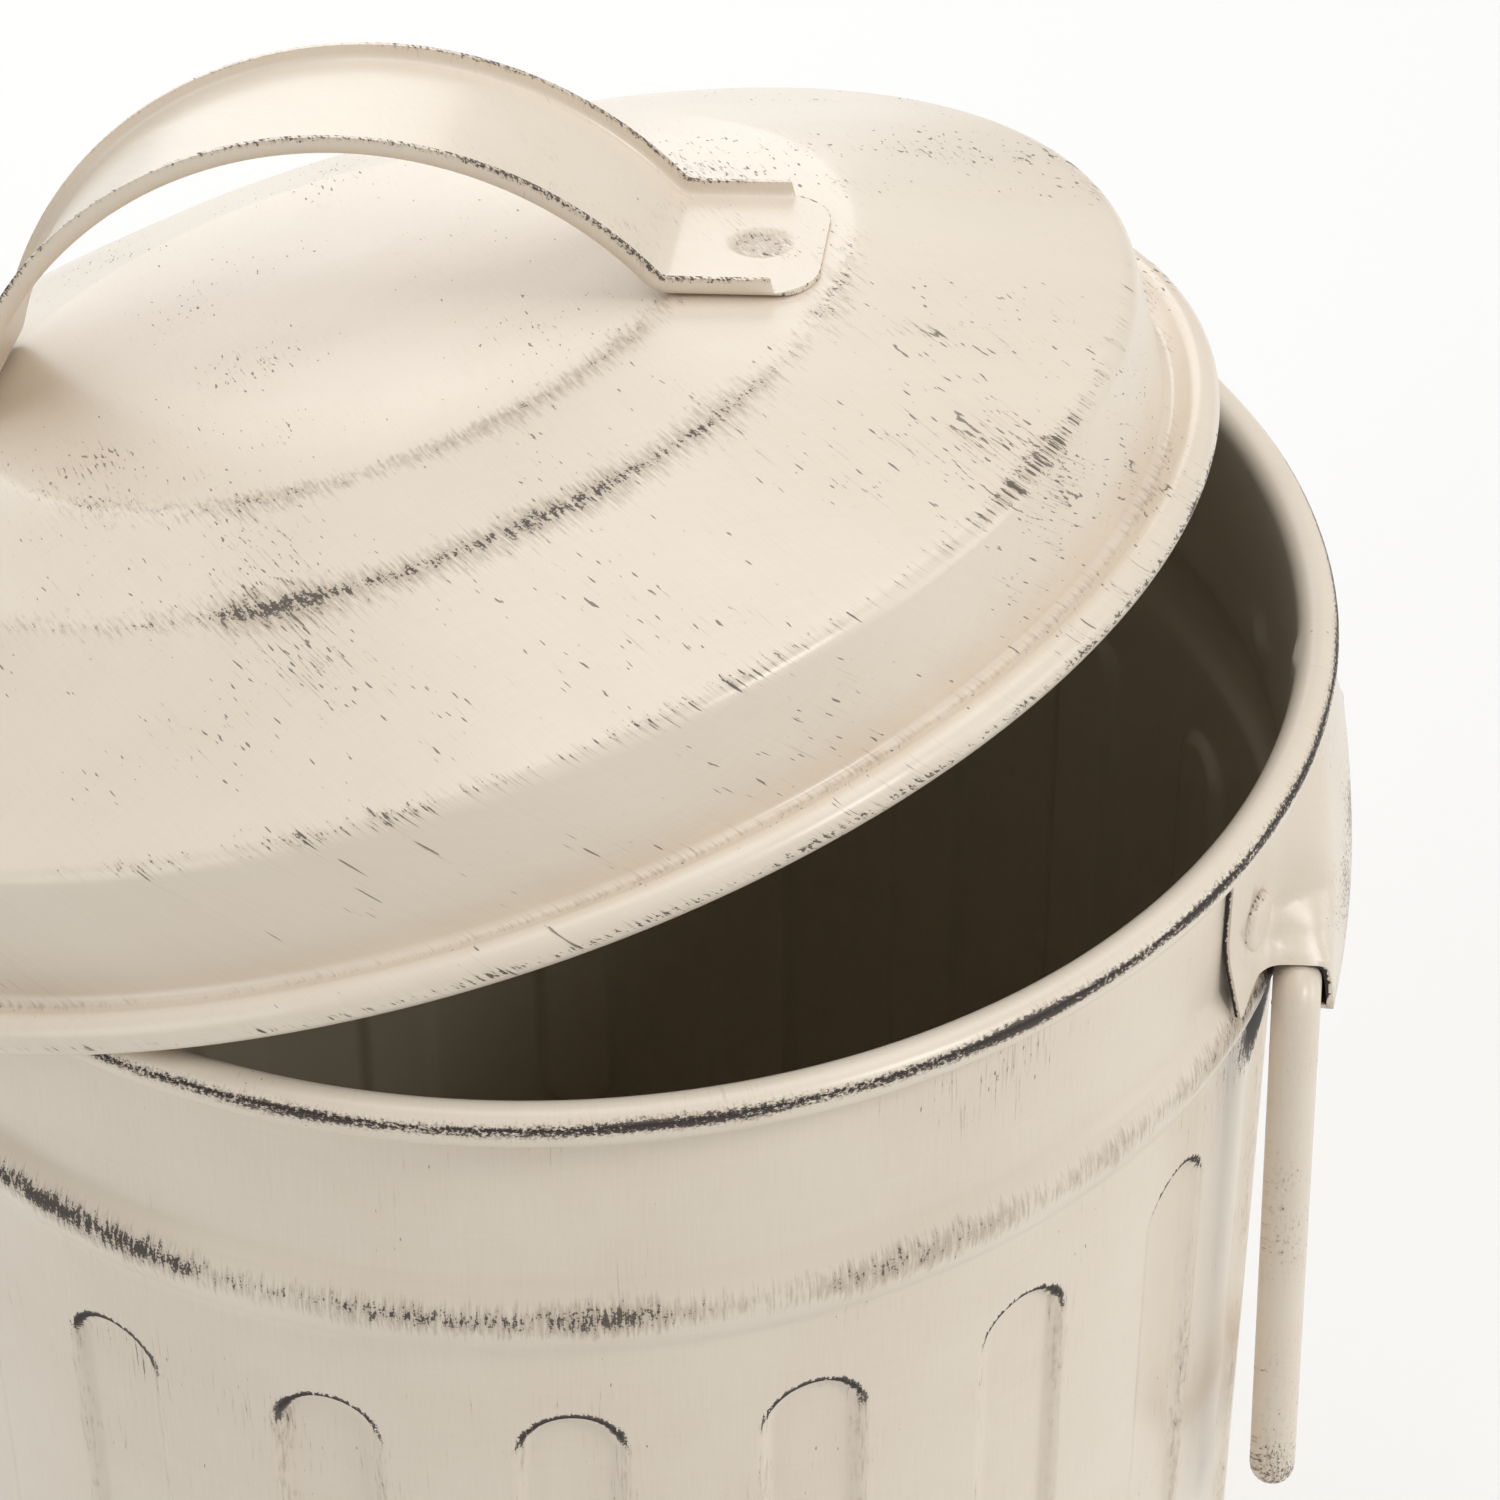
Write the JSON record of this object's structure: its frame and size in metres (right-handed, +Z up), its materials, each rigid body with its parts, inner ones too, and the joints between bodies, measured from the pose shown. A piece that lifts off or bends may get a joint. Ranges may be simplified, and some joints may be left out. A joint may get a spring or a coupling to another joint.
{
  "type": "ash bucket",
  "caption": "Round sheet-steel ash bucket with fluted side, drop handles in pressed ears, and a loose stepped lid with an arched strap handle, resting ajar.",
  "frame": {"origin": "centre of the bucket's flat underside, on the bucket's axis", "axes": "+Z up along the bucket's axis; the two ears and drop handles lie on +X and -X"},
  "size_m": [0.2778, 0.2634, 0.3656],
  "materials": {
    "painted_sheet": "satin cream paint, worn on edges",
    "painted_rod": "satin cream paint, worn on edges",
    "bare_wire": "bare drawn wire"
  },
  "bodies": {
    "bucket": {"drum": "painted_sheet", "rim_wire": "bare_wire", "base_pan": "painted_sheet", "ear_right": "painted_sheet", "ear_left": "painted_sheet"},
    "handle_right": {"handle_right": "painted_rod"},
    "handle_left": {"handle_left": "painted_rod"},
    "lid": {"lid_cover": "painted_sheet", "lid_wire": "bare_wire", "lid_strap": "painted_sheet"}
  },
  "joints": [
    {"name": "lid_lift", "type": "slide", "parent": "bucket", "child": "lid", "axis": [0, 0, 1], "range_m": [0, 0.15]},
    {"name": "handle_right_swing", "type": "hinge", "parent": "bucket", "child": "handle_right", "pos_m": [0.1205, 0, 0.2468], "axis": [0, -1, 0], "range_deg": [0, 85]},
    {"name": "handle_left_swing", "type": "hinge", "parent": "bucket", "child": "handle_left", "pos_m": [-0.1205, 0, 0.2468], "axis": [0, 1, 0], "range_deg": [0, 60]}
  ]
}
